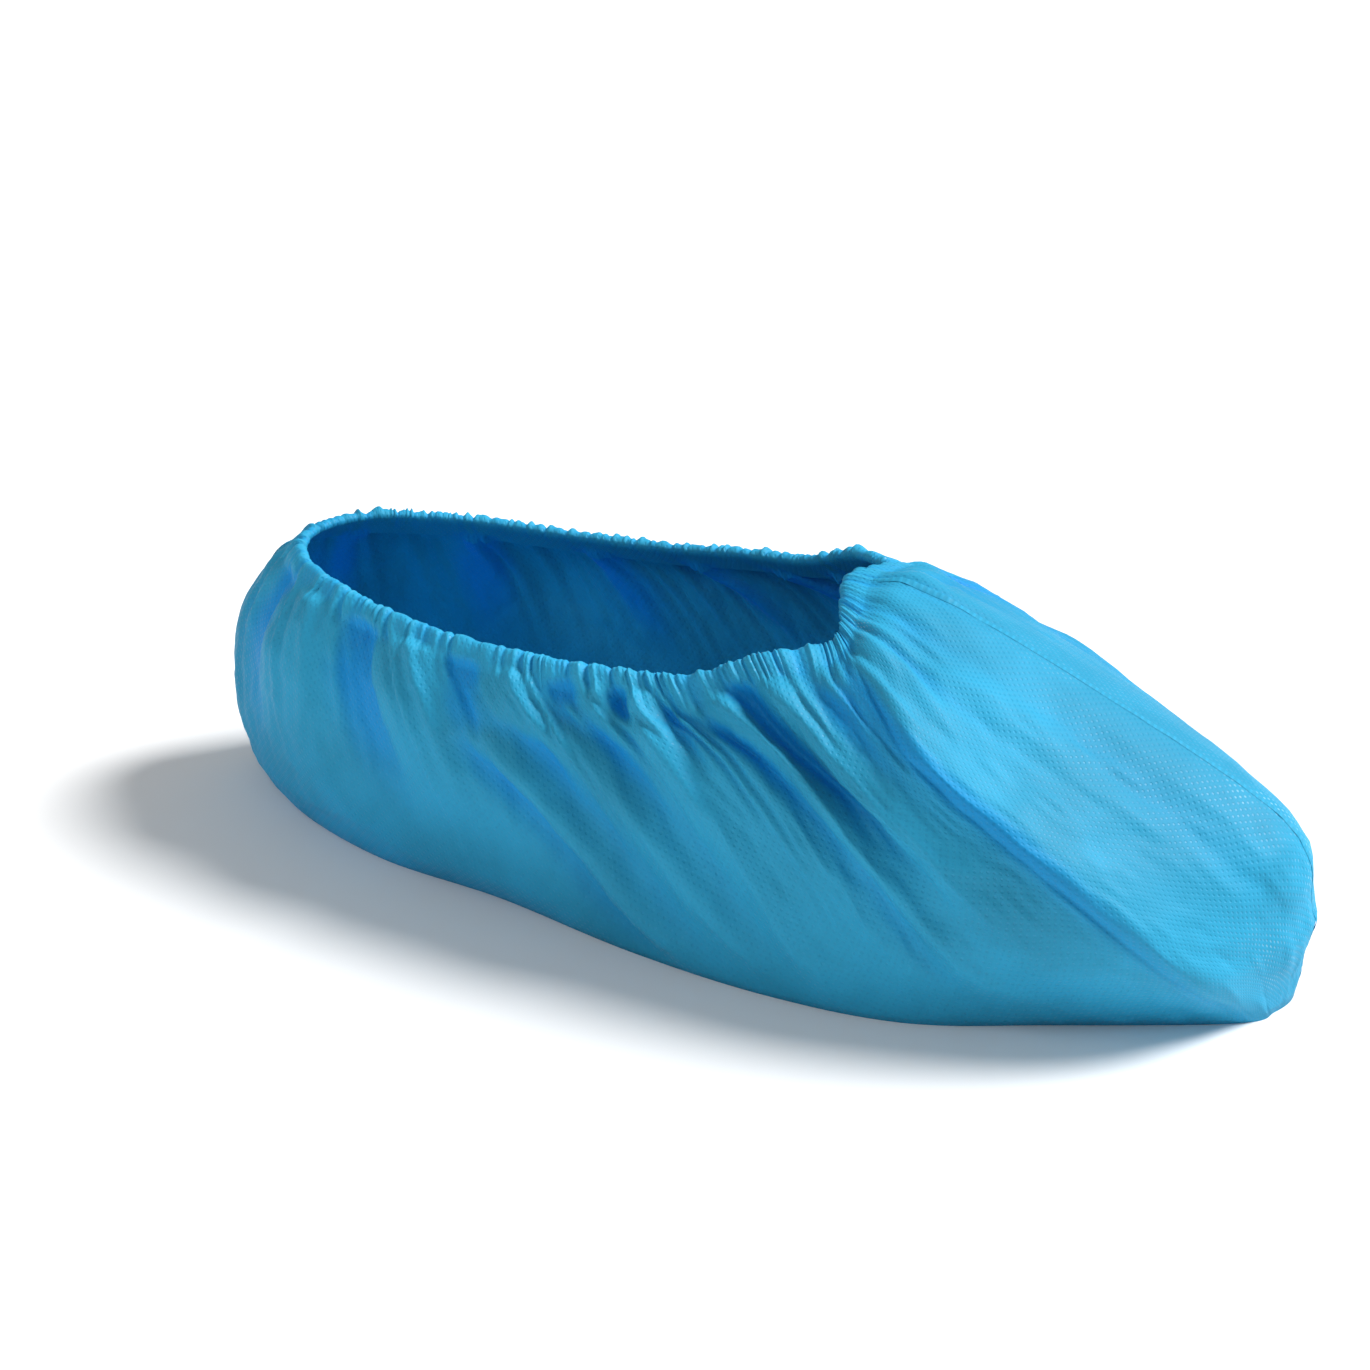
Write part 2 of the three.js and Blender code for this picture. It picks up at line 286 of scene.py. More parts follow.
def down_of(rounds, depths):
    """The share of the way down at which a column reaches a depth."""
    rounds, depths = np.broadcast_arrays(rounds, depths)
    columns = depth_columns(rounds)
    wanted = depths.ravel()
    upper = np.clip((columns < wanted).sum(axis=0) - 1, 0, len(every_down) - 2)
    pick = np.arange(len(upper))
    top, bottom = columns[upper, pick], columns[upper + 1, pick]
    share = np.clip((wanted - top) / np.maximum(bottom - top, 1e-9), 0, 1)
    return ((upper + share) / (len(every_down) - 1)).reshape(rounds.shape)


print("walls are", round(depth_table[-1].min() / MM), "to",
      round(depth_table[-1].max() / MM), "mm deep")

# %% [markdown]
# ## Folds
#
# Cloth that is drawn in at the top has to put its spare width somewhere. It makes long
# soft folds that leave the hem and lean towards the toe as they come down, with a sharp
# crease where the vamp turns into the near wall. A table holds one row for each fold.
# `rise` is how far it stands out, or in if negative, in millimetres. `wide` is its half
# width in ribs. A soft fold is a round wave, a crisp one has a sharp line, and a lapped
# one rises gently on the toe side and drops steeply on the other. The path gives the rib
# that the fold lies on at a few shares of the way down, and the fold ends with it.

# %% Fold tables
CRISP, LAPPED = "crisp", "lapped"
LAP_STEEPNESS = 1.9        # how much narrower its steep side is
FADE = 0.14                # a fold grows over this much of the way down, and ends over twice it
NEAR_FOLDS = [
    # rise, wide, path of (way down, rib), and the kind if it isn't a soft one
    (2.4, 0.34, ((0.04, 1.58), (0.22, 1.63), (0.36, 1.78), (0.58, 1.77), (1.1, 1.76)), LAPPED),
    (-1.3, 0.06, ((0.08, 1.76), (0.22, 1.81), (0.36, 1.96), (0.58, 1.95), (1.1, 1.91)), CRISP),
    (-2.6, 0.09, ((0.04, 1.7), (0.14, 1.68), (0.26, 1.64))),
    (-2.4, 0.1, ((0.06, 1.86), (0.12, 1.89), (0.2, 2.03), (0.28, 2.08))),
    (-1.2, 0.18, ((0.12, 2.2), (0.36, 2.18), (0.84, 2.12))),
    (0.9, 0.12, ((0.08, 1.42), (0.23, 1.3), (0.33, 1.4), (0.46, 1.48))),
    (-0.9, 0.15, ((0.12, 1.2), (0.27, 1.18), (0.34, 1.08), (0.5, 1.15))),
    (1.2, 0.16, ((0.2, 0.85), (0.4, 0.8), (0.6, 0.95))),
    (-1.2, 0.18, ((0.3, 0.5), (0.5, 0.6), (0.8, 0.75))),
    (-1.8, 0.16, ((0.06, 2.42), (0.3, 2.38), (0.6, 2.28))),
    (3.2, 0.2, ((0.02, 3.08), (0.3, 2.82), (0.55, 2.68), (0.84, 2.58))),
    (1.2, 0.1, ((0.26, 2.72), (0.45, 2.56), (0.6, 2.5))),
    (-5.4, 0.16, ((0.0, 3.47), (0.3, 3.29), (0.4, 3.17), (0.48, 3.03), (0.66, 2.9))),
    (3.0, 0.19, ((0.02, 3.76), (0.4, 3.47), (0.95, 3.06))),
    (-3.2, 0.18, ((0.14, 4.32), (0.26, 4.03), (0.5, 3.7), (0.95, 3.2))),
    (-2.8, 0.12, ((0.1, 4.42), (0.3, 4.57), (0.58, 4.78))),
    (2.6, 0.17, ((0.0, 4.78), (0.3, 4.8), (0.62, 4.78))),
    (-3.8, 0.12, ((0.0, 4.92), (0.25, 5.08), (0.5, 5.26))),
    (3.0, 0.22, ((0.18, 5.18), (0.6, 4.74), (1.05, 4.3))),
    (1.1, 0.06, ((0.18, 5.1), (0.36, 5.3), (0.46, 5.26)), CRISP),
    (1.8, 0.12, ((0.0, 5.18), (0.2, 5.31), (0.34, 5.4))),
    (-2.4, 0.2, ((0.22, 5.82), (0.55, 5.22), (1.0, 4.6))),
    (-2.8, 0.13, ((0.0, 5.66), (0.2, 5.72), (0.4, 5.8))),
    (3.0, 0.23, ((0.24, 6.1), (0.6, 5.42), (1.02, 4.72))),
    (-2.6, 0.2, ((0.3, 6.48), (0.65, 5.78), (1.02, 5.1))),
    (3.2, 0.23, ((0.38, 6.7), (0.7, 6.03), (1.06, 5.42))),
    (-4.4, 0.19, ((0.42, 6.95), (0.7, 6.22), (1.08, 5.66))),
    (2.4, 0.18, ((0.0, 6.2), (0.3, 6.2), (0.5, 6.3))),
    (-2.8, 0.16, ((0.0, 6.72), (0.3, 6.76), (0.55, 6.8))),
    (2.8, 0.22, ((0.0, 7.2), (0.35, 7.22), (0.8, 7.05))),
    (-3.2, 0.2, ((0.0, 7.78), (0.35, 7.82), (0.8, 7.5))),
    (2.8, 0.28, ((0.0, 8.45), (0.4, 8.45), (0.9, 8.15))),
    (-2.6, 0.22, ((0.0, 9.05), (0.35, 9.08), (0.8, 8.95))),
]
FAR_FOLDS = [
    (-3.6, 0.7, ((0.07, 1.7), (1.1, 1.7))),
    (2.6, 0.3, ((0.14, 2.0), (1.1, 2.0)), CRISP),
    (1.8, 0.2, ((0.04, 2.44), (0.6, 2.27))),
    (-3.8, 0.2, ((0.0, 2.85), (0.7, 2.57))),
    (2.8, 0.2, ((0.0, 3.35), (0.4, 3.15), (0.85, 2.85))),
    (-3.4, 0.18, ((0.0, 3.8), (0.3, 3.65), (0.7, 3.38))),
    (2.6, 0.22, ((0.0, 4.2), (0.4, 3.88), (1.0, 3.3))),
    (-3.6, 0.18, ((0.0, 4.7), (0.35, 4.46), (0.8, 4.1))),
    (2.8, 0.22, ((0.0, 5.2), (0.4, 4.98), (1.0, 4.56))),
    (-3.2, 0.18, ((0.0, 5.75), (0.3, 5.62), (0.7, 5.4))),
    (2.8, 0.22, ((0.1, 6.2), (0.5, 5.65), (1.05, 4.9))),
    (-3.0, 0.18, ((0.0, 6.8), (0.3, 6.76), (0.7, 6.6))),
    (2.8, 0.22, ((0.0, 7.35), (0.7, 7.35))),
    (-3.2, 0.2, ((0.0, 7.9), (0.75, 7.98))),
    (2.8, 0.26, ((0.0, 8.55), (0.85, 8.6))),
    (-2.4, 0.2, ((0.0, 9.12), (0.7, 9.18))),
]


def smooth_step(x):
    """From 0 to 1 as x does, with a soft start and a soft end."""
    t = np.clip(x, 0, 1)
    return t * t * (3 - 2 * t)


def hump(distance, wide):
    """1 at no distance, dying out smoothly to both sides."""
    return np.exp(-(distance / wide) ** 2)


def fold_rise(rounds, downs):
    """How far the folds move the cloth outwards, in metres."""
    is_near = rounds <= HALF_ROUND
    ribs = np.where(is_near, rounds, ROUND - rounds)
    rise = np.zeros(np.broadcast_shapes(np.shape(rounds), np.shape(downs)))
    for folds, side in ((NEAR_FOLDS, is_near), (FAR_FOLDS, ~is_near)):
        for height, wide, path, *kind in folds:
            ways, path_ribs = zip(*path)
            away = (ribs - np.interp(downs, ways, path_ribs)) / wide
            if LAPPED in kind:
                away = np.where(away > 0, away * LAP_STEEPNESS, away)
            shape = np.exp(-np.abs(away)) if CRISP in kind else hump(away, 1)
            lives = smooth_step((downs - ways[0]) / FADE)
            lives = lives * smooth_step((ways[-1] - downs) / (2 * FADE))
            rise = rise + side * height * MM * shape * lives
    return rise


print(len(NEAR_FOLDS), "near folds,", len(FAR_FOLDS), "far folds")

# %% [markdown]
# ## Gathers
#
# Right under the elastic the spare width is crushed into small ruffles a few
# millimetres apart. They aren't even: some stretches are packed tight and others run
# smooth into a big fold. So we let the spacing itself wander, add it up to a phase, and
# take the ruffles from that phase. Lower down, about two ruffles join into one pleat,
# and the pleats die out on the wall. The hem and the cloth under it read the same
# functions, so a ruffle runs on from one into the other.

# %% Gathers
GATHER_STEPS = 4000
LOOSE_GATHER = 7.5 * MM    # from ruffle to ruffle where the cloth runs smooth
TIGHT_GATHER = 1.7 * MM    # and where it is packed tight
PLEAT = 9.0 * MM
USUAL_TIGHTNESS = 0.50
TIGHTNESS_SWING = 0.9
TIGHTEST_RIBS = (1.9, 3.05, 4.35)
TIGHTEST_WIDE = 0.28       # half width in ribs
TIGHT_SHRINK = 0.35        # the share that packed ruffles and pleats lose
SMALLEST_RUFFLE = 0.02


def wandering(waves, seed):
    """A smooth closed random run of numbers from about -1 to 1."""
    draw = np.random.default_rng(seed)
    angle = np.linspace(0, 2 * math.pi, GATHER_STEPS, endpoint=False)
    total = np.zeros(GATHER_STEPS)
    for number in range(1, waves + 1):
        total += draw.normal() * np.cos(number * angle + draw.uniform(0, 2 * math.pi))
    return total / np.abs(total).max()


gather_rounds = np.linspace(0, ROUND, GATHER_STEPS, endpoint=False)
edge_loop = form_at(gather_rounds, 0.0)
edge_steps = np.linalg.norm(np.roll(edge_loop, -1, axis=0) - edge_loop, axis=1)
tight = USUAL_TIGHTNESS + TIGHTNESS_SWING * wandering(waves=36, seed=3)
for rib in TIGHTEST_RIBS:
    tight += TIGHTNESS_SWING * hump(gather_rounds - rib, TIGHTEST_WIDE)
tight = np.clip(tight, 0, 1)
shrink = 1 - TIGHT_SHRINK * tight


def phase_of(lengths):
    """Adds lengths up to a phase that closes on a whole number of waves."""
    total = np.cumsum(edge_steps / lengths)
    return total * np.round(total[-1]) / total[-1]


ruffle_phase = phase_of(LOOSE_GATHER + (TIGHT_GATHER - LOOSE_GATHER) * tight)
pleat_phase = phase_of(PLEAT * shrink)
ruffle_size = np.clip(0.50 + 0.95 * wandering(waves=240, seed=5), SMALLEST_RUFFLE, 1) * shrink
pleat_size = 0.55 + 0.45 * wandering(waves=24, seed=11)
lip_size = wandering(waves=90, seed=21)


def wave(rounds, phase, size, sharpness):
    """Uneven waves round the opening, from about -1 in a pinch to 1 on a crest."""
    at = np.asarray(rounds) % ROUND
    turn = np.interp(at, gather_rounds, phase)
    height = np.interp(at, gather_rounds, size, period=ROUND)
    pushed = turn + 0.22 * np.sin(2.3 * turn) + 0.12 * np.sin(5.1 * turn)
    crest = 0.5 + 0.5 * np.cos(2 * math.pi * pushed)
    return height * (2 * crest**sharpness - 1)


print("edge of the cloth", round(edge_steps.sum() / MM), "mm round,",
      int(ruffle_phase[-1]), "ruffles,", int(pleat_phase[-1]), "pleats")

# %% [markdown]
# ## One function for the cloth
#
# The sheet, the hem and the welds all follow the same surface, so one function gives it.
# It takes the form, moves it outwards by the folds, the pleats and the ruffles, and adds
# what the simulation found, which starts as nothing.

# %% The surface of the cloth
HEM_DEEP = 3.6 * MM        # the weld under the hem, where the cloth is pinched
RUFFLE_RISE = 0.60 * MM
RUFFLE_REACH = 10.5 * MM
PLEAT_RISE = 1.5 * MM
PLEAT_REACH = 34 * MM
PLEAT_START = 0.45         # the share of its rise that a pleat has at the hem
PLEAT_GROWTH = 10 * MM     # and how far below it has it all
PLEAT_DRIFT = -0.55        # ribs for the whole way down, towards the toe
ROUNDNESS = 0.8            # below 1, crests are broader than pinches
PINCH = 0.25 * MM
PINCH_REACH = 2.0 * MM
PUFF = 0.6 * MM            # the swelling below the pinched line
PUFF_BELOW = 7.0 * MM
PUFF_REACH = 5 * MM
EDGE_LIFT = 1.1 * MM       # keeps the ruffled edge clear of the elastic
EDGE_REACH = 6 * MM
FOOT_FADE = 0.05           # the last of the way down, where all of it dies out
SLOPE = 0.02               # the step over which a slope is measured


def outward(rounds, downs):
    """The outward direction of the form."""
    along = form_at(rounds + SLOPE, downs) - form_at(rounds - SLOPE, downs)
    lower, upper = np.minimum(downs + SLOPE, 1), np.maximum(downs - SLOPE, 0)
    down = form_at(rounds, lower) - form_at(rounds, upper)
    across = np.cross(along, down)
    return across / np.linalg.norm(across, axis=-1, keepdims=True)


WIDEST_RIB = 5.0
BELLY = 0.6                # the way down at which the walls stand furthest out
for side, round_there in (("near", WIDEST_RIB), ("far", ROUND - WIDEST_RIB)):
    print("out on the", side, "side is", np.round(outward(np.array([round_there]), BELLY)[0], 2))


def edge_lift(depths):
    """How far the cloth stands out round the edge, whatever its folds do."""
    return EDGE_LIFT * hump(depths, EDGE_REACH)


def gather_rise(rounds, downs, depths):
    """Ruffles under the elastic, the pinched line below them, and the pleats under that."""
    toward_toe = np.where(rounds <= HALF_ROUND, -1.0, 1.0) * PLEAT_DRIFT * downs
    below = depths - HEM_DEEP
    ruffles = wave(rounds, ruffle_phase, ruffle_size, ROUNDNESS)
    ruffles = ruffles * np.exp(-(depths / RUFFLE_REACH) ** 4)
    grow = PLEAT_START + (1 - PLEAT_START) * smooth_step(below / PLEAT_GROWTH)
    pleats = grow * np.exp(-(np.maximum(below, 0) / PLEAT_REACH) ** 1.5)
    pleats = pleats * wave(rounds + toward_toe, pleat_phase, pleat_size, ROUNDNESS)
    pinched = -PINCH * hump(below, PINCH_REACH) + edge_lift(depths)
    puffed = PUFF * hump(below - PUFF_BELOW, PUFF_REACH)
    return RUFFLE_RISE * ruffles + PLEAT_RISE * pleats + pinched + puffed


# %% What the simulation adds
SIM_COLUMNS = 300
SIM_ROWS = 44
SIM_ROW_CROWDING = 1.25
settled = np.zeros((SIM_ROWS, SIM_COLUMNS, 3))


def rows_down(count, crowding):
    """Depths for rows that crowd near the hem, and the ways down that reach them."""
    depths = np.linspace(0, 1, count) ** crowding * depth_table[-1].mean()
    return depths, np.interp(depths, depth_table.mean(axis=1), every_down)


sim_downs = rows_down(SIM_ROWS, SIM_ROW_CROWDING)[1]
print("simulated:", SIM_ROWS, "rows of", SIM_COLUMNS)


def settled_at(rounds, downs):
    """What the simulation adds, smoothly between the places that it worked on."""
    rounds, downs = np.broadcast_arrays(rounds, downs)
    x = rounds % ROUND / ROUND * SIM_COLUMNS
    y = np.interp(downs, sim_downs, np.arange(SIM_ROWS))
    column, row = np.floor(x).astype(int), np.clip(np.floor(y).astype(int), 0, SIM_ROWS - 2)
    s, t = (x - column)[..., None], (y - row)[..., None]
    rows = [curve(*(settled[np.clip(row + k, 0, SIM_ROWS - 1), (column + j) % SIM_COLUMNS]
                    for j in (-1, 0, 1, 2)), s) for k in (-1, 0, 1, 2)]
    return curve(*rows, t)


# %% The cloth, anywhere
def cloth_parts(rounds, downs):
    """The form, which way is out there, and how far out the cloth stands from it."""
    rounds, downs = np.broadcast_arrays(np.asarray(rounds, float), np.asarray(downs, float))
    rise = fold_rise(rounds, downs) + gather_rise(rounds, downs, depth_of(rounds, downs))
    rise = rise * smooth_step((1 - downs) / FOOT_FADE)
    return form_at(rounds, downs) + settled_at(rounds, downs), outward(rounds, downs), rise


def cloth_at(rounds, downs):
    """Places on the outside of the cloth, and which way is out there."""
    places, out, rise = cloth_parts(rounds, downs)
    places = places + out * rise[..., None]
    places[..., 2] = np.maximum(places[..., 2], 0)
    return places, out


# %% [markdown]
# ## Let the cloth settle
#
# The listed folds are too even, so we run Blender's cloth simulation on the walls for
# about a second. The rest shape is the flat cut: near the elastic it is wider than the
# opening, so the cloth there has to buckle, and it starts from the folds that we laid.
# The edge and the foot are held, and the rest only loosely, so that the cover keeps its
# form. At real size these settings moved the walls by less than a tenth of a millimetre,
# so the working copy is ten times real size. Afterwards we keep the moves, scaled back
# and capped, and remove the working mesh.

# %% Helpers for meshes
def mesh_piece(name, vertices, faces, face_uvs=None):
    """A new piece from vertices, faces as lists of indices and one UV for each corner."""
    mesh = bpy.data.meshes.new(name)
    mesh.from_pydata(np.asarray(vertices).tolist(), [], faces)
    if face_uvs is not None:
        layer = mesh.uv_layers.new(name="cloth")
        layer.data.foreach_set("uv", np.concatenate([np.ravel(f) for f in face_uvs]))
    mesh.polygons.foreach_set("use_smooth", [True] * len(mesh.polygons))
    return placed(name, mesh)


def grid_faces(rows, columns, closed=True):
    """The corners of every quad in a grid, as (row, column) with columns not wrapped."""
    last = columns if closed else columns - 1
    row, column = np.meshgrid(np.arange(rows - 1), np.arange(last), indexing="ij")
    corners = [(row, column), (row + 1, column), (row + 1, column + 1), (row, column + 1)]
    return np.stack([np.stack(c, axis=-1).reshape(-1, 2) for c in corners], axis=1)


def wrapped_faces(corners, columns):
    """Those corners as vertex numbers, with the last column joined to the first."""
    return (corners[..., 0] * columns + corners[..., 1] % columns).tolist()


# %% Simulate the walls
SIM_FRAMES = 22
SIM_GROWTH = 10            # the working copy is this many times real size
SPARE_CLOTH = 0.24         # how much wider than the opening the cloth is cut
SPARE_REACH = 38 * MM
SPARE_DOWN = 0.015
HELD_AT_EDGE = 4 * MM      # it comes loose over this depth
HELD_AT_FOOT = 6 * MM
LOOSENESS = 0.94
LARGEST_MOVE = 2.0 * MM
CLOTH_SETTINGS = {
    "quality": 6, "mass": 0.02, "air_damping": 4.0, "tension_stiffness": 12.0,
    "compression_stiffness": 8.0, "shear_stiffness": 3.0, "bending_stiffness": 0.04,
    "pin_stiffness": 0.6,
}


def settle_walls():
    """Runs the simulation on a coarse copy of the walls, and returns the moves."""
    sim_rounds = np.linspace(0, ROUND, SIM_COLUMNS, endpoint=False)
    sim_grid = sim_rounds[None, :], sim_downs[:, None]
    start = cloth_at(*sim_grid)[0]
    faces = wrapped_faces(grid_faces(SIM_ROWS, SIM_COLUMNS), SIM_COLUMNS)
    walls = mesh_piece("settling_walls", start.reshape(-1, 3) * SIM_GROWTH, faces)
    depths = depth_of(*sim_grid)
    spare = 1 + SPARE_CLOTH * hump(depths, SPARE_REACH)
    form = form_at(*sim_grid)
    centre = np.array([form[..., 0].mean(), 0, 0])
    cut = (form - centre) * np.stack([spare, spare, spare * 0 + 1 + SPARE_DOWN], axis=-1) + centre
    walls.shape_key_add(name="as_laid")
    flat_cut = walls.shape_key_add(name="as_cut")
    flat_cut.data.foreach_set("co", cut.ravel() * SIM_GROWTH)

    held = walls.vertex_groups.new(name="held")
    from_edge = np.clip((depths - HEM_DEEP) / HELD_AT_EDGE, 0, 1)
    from_foot = np.clip((depths.max(axis=0) - depths) / HELD_AT_FOOT, 0, 1)
    loose = np.minimum(from_edge, from_foot)
    for index, share in enumerate((1 - LOOSENESS * loose).ravel()):
        held.add([index], float(share), "REPLACE")

    cloth = walls.modifiers.new("settle", "CLOTH")
    cloth.settings.vertex_group_mass = "held"
    cloth.settings.rest_shape_key = flat_cut
    for name, value in CLOTH_SETTINGS.items():
        setattr(cloth.settings, name, value)
    cloth.settings.effector_weights.gravity = 0.0
    cloth.collision_settings.use_collision = False
    cloth.point_cache.frame_start = 1
    cloth.point_cache.frame_end = SIM_FRAMES
    for number in range(1, SIM_FRAMES + 1):
        scene.frame_set(number)
    moved = walls.evaluated_get(bpy.context.evaluated_depsgraph_get()).to_mesh()
    spots = np.empty(len(moved.vertices) * 3)
    moved.vertices.foreach_get("co", spots)
    mesh = walls.data
    bpy.data.objects.remove(walls)
    bpy.data.meshes.remove(mesh)
    scene.frame_set(1)
    return spots.reshape(start.shape) / SIM_GROWTH - start


def capped(moves, most):
    """Moves no longer than most, the long ones eased towards it."""
    length = np.linalg.norm(moves, axis=-1, keepdims=True)
    eased = most * np.tanh(length / most)
    return moves * np.where(length > 0, eased / np.maximum(length, 1e-12), 1)


moves = settle_walls()
lengths = np.linalg.norm(moves, axis=2)
print("the cloth moved", round(float(lengths.mean()) / MM, 2),
      "mm on average,", round(float(lengths.max()) / MM, 2), "at most")
settled = capped(moves, LARGEST_MOVE)

# %% [markdown]
# ## The sheet
#
# The body is one long strip of cloth that goes all the way round, laid out as a grid. Its
# top row is the edge inside the hem, and its lowest row is the rim of the sole. Rows
# stand closer near the hem, and columns at the crease and in the gathers, because small
# folds need several faces each.

# %% Columns and rows
COLUMNS = 760
ROWS = 52
ROW_CROWDING = 1.3
SOLE_ROWS = 12
HALF_COLUMNS = COLUMNS // 2
CROWDS = [
    # how many more columns there, the rib, and the half width in ribs
    (0.7, 4.2, 1.8), (0.9, 1.85, 0.22),
]

fine_rounds = np.linspace(0, HALF_ROUND, 2001)
crowding = np.ones(len(fine_rounds))
for more, rib, wide in CROWDS:
    crowding += more * hump(fine_rounds - rib, wide)
share_of_columns = np.cumsum(crowding) - crowding[0]
share_of_columns /= share_of_columns[-1]
half_rounds = np.interp(np.linspace(0, 1, HALF_COLUMNS + 1), share_of_columns, fine_rounds)
rounds = np.concatenate([half_rounds, ROUND - half_rounds[1:-1][::-1]])
row_depths, downs = rows_down(ROWS, ROW_CROWDING)
grid = rounds[None, :], downs[:, None]
folded = cloth_at(*grid)[0]
folded[-1, :, 2] = 0
print("rows are", round((row_depths[1] - row_depths[0]) / MM, 2), "to",
      round((row_depths[-1] - row_depths[-2]) / MM, 2), "mm apart")

# %% [markdown]
# ## From grid to mesh
#
# The walls are a ring of quads. Under the foot, each near column joins the far column
# across from it by a row of quads, so the sole is the same sheet carried on. The UV map
# measures the flat cloth in metres: across is the length round the belly of the cover,
# down is the length along each column. Where the elastic draws the cloth in, the map
# doesn't shrink, so the embossed points crowd together as they do on the real thing.

# %% Build the sheet
belly = form_at(rounds, BELLY)
belly_steps = np.linalg.norm(np.roll(belly, -1, axis=0) - belly, axis=1)
across_at = np.concatenate([[0], np.cumsum(belly_steps)])
down_at = depth_of(*grid)


def build_sheet(name, places):
    """The whole sheet: walls from the grid, and the sole between its two lowest sides."""
    corners = grid_faces(ROWS, COLUMNS)
    faces = wrapped_faces(corners, COLUMNS)
    uvs = [np.stack([across_at[c[:, 1]], down_at[c[:, 0], c[:, 1] % COLUMNS]], axis=1)
           for c in corners]
    foot = (ROWS - 1) * COLUMNS
    walls = places.reshape(-1, 3)
    sole, extra = [], []
    for column in range(HALF_COLUMNS + 1):
        near, far = places[-1, column], places[-1, -column % COLUMNS]
        if column in (0, HALF_COLUMNS):
            middle = [foot + column] * (SOLE_ROWS - 1)
        else:
            first = len(walls) + len(extra)
            extra += [near + (far - near) * k / SOLE_ROWS for k in range(1, SOLE_ROWS)]
            middle = range(first, len(walls) + len(extra))
        sole.append([foot + column, *middle, foot + (-column % COLUMNS)])
    everything = np.concatenate([walls, np.array(extra)])
    for here, there in zip(sole, sole[1:]):
        for k in range(SOLE_ROWS):
            quad = list(dict.fromkeys((here[k], here[k + 1], there[k + 1], there[k])))
            if len(quad) > 2:
                faces.append(quad)
                uvs.append(everything[quad][:, :2])
    return mesh_piece(name, everything, faces, uvs)


def mark(piece, name, shares):
    """Stores a share from 0 to 1 at each vertex, for the material to read."""
    whole = np.zeros(len(piece.data.vertices))
    whole[:shares.size] = np.clip(shares, 0, 1).ravel()
    piece.data.attributes.new(name, "FLOAT", "POINT").data.foreach_set("value", whole)


# %% Marks for the material
GLINT_PATCHES = [
    # where the points are painted pale as glints: round, way down, and half sizes
    (0.0, 0.60, 0.36, 0.34), (0.9, 0.84, 0.42, 0.13), (1.25, 0.07, 0.26, 0.06),
]
# the patch of painted shade along the crease, and how strongly it is painted
CREASE_SHADE_PATCH = (1.86, 0.42, 0.17, 0.40)
CREASE_SHADE_STRENGTH = 0.8
# painted shade in the grooves: how far in the cloth lies for all of it, and how far below the
# edge it stays strong
SHADE_FULL_DEPTH = 2.6 * MM
SHADE_HEM_REACH = 30 * MM
LEVEL_SHADE = 0.25          # for cloth that lies neither in nor out
DEEP_WALL_SHADE = 0.25           # the share that is left far below the hem


def patch(rounds, downs, at_round, at_down, wide, tall):
    """A soft patch on the cloth, 1 in the middle and 0 outside."""
    from_middle = (rounds - at_round + HALF_ROUND) % ROUND - HALF_ROUND
    return np.exp(-(from_middle / wide) ** 2 - ((downs - at_down) / tall) ** 2)


def glint_share(rounds, downs):
    """How strongly the points are painted pale here, as glints."""
    return sum(patch(rounds, downs, *place) for place in GLINT_PATCHES)


def groove_shade_share(rise, depths):
    """How much painted shade a groove gets, from how far in the cloth lies. It is strongest near
    the hem.
    """
    painted_groove_shade = LEVEL_SHADE - (rise - edge_lift(depths)) / SHADE_FULL_DEPTH
    return painted_groove_shade * (DEEP_WALL_SHADE + (1 - DEEP_WALL_SHADE) * hump(depths, SHADE_HEM_REACH))


cover_sheet = build_sheet("cover_sheet", folded)
wall_rise = cloth_parts(*grid)[2]
shade_along_crease = patch(*grid, *CREASE_SHADE_PATCH)
# painted shade: a deeper blue in the grooves and along the crease
mark(cover_sheet, "painted_groove_shade", groove_shade_share(wall_rise, down_at) + CREASE_SHADE_STRENGTH * shade_along_crease)
# painted glints: points painted pale over the toe, the top of the vamp and the front of the rim
mark(cover_sheet, "painted_glints", glint_share(*grid))
print("sheet:", len(cover_sheet.data.vertices), "vertices,",
      len(cover_sheet.data.polygons), "faces")

# %% Thickness
CLOTH_THICK = 0.4 * MM


def face_outwards(piece, outside_point):
    """Turns the faces over if most of them look towards the point inside."""
    facing = sum(p.normal.dot(p.center - outside_point) * p.area for p in piece.data.polygons)
    if facing < 0:
        piece.data.flip_normals()


def thicken(piece, thickness):
    """Gives a sheet its thickness, on the inside."""
    wall = piece.modifiers.new("cloth_thickness", "SOLIDIFY")
    wall.thickness = thickness
    wall.offset = -1


face_outwards(cover_sheet, Vector(folded.mean(axis=(0, 1))))
thicken(cover_sheet, CLOTH_THICK)
print("the cloth is", round(CLOTH_THICK / MM, 2), "mm thick")

# %% [markdown]
# ## The gathered hem
#
# The edge of the sheet is turned in over the elastic and welded to itself, which makes
# a soft flat tube. We sweep a section round the opening: up the outside from just under
# the surface of the sheet, over the lip and down the inside. It follows the cloth
# closely, so that no band shows, and the lip goes up and down with the ruffles.

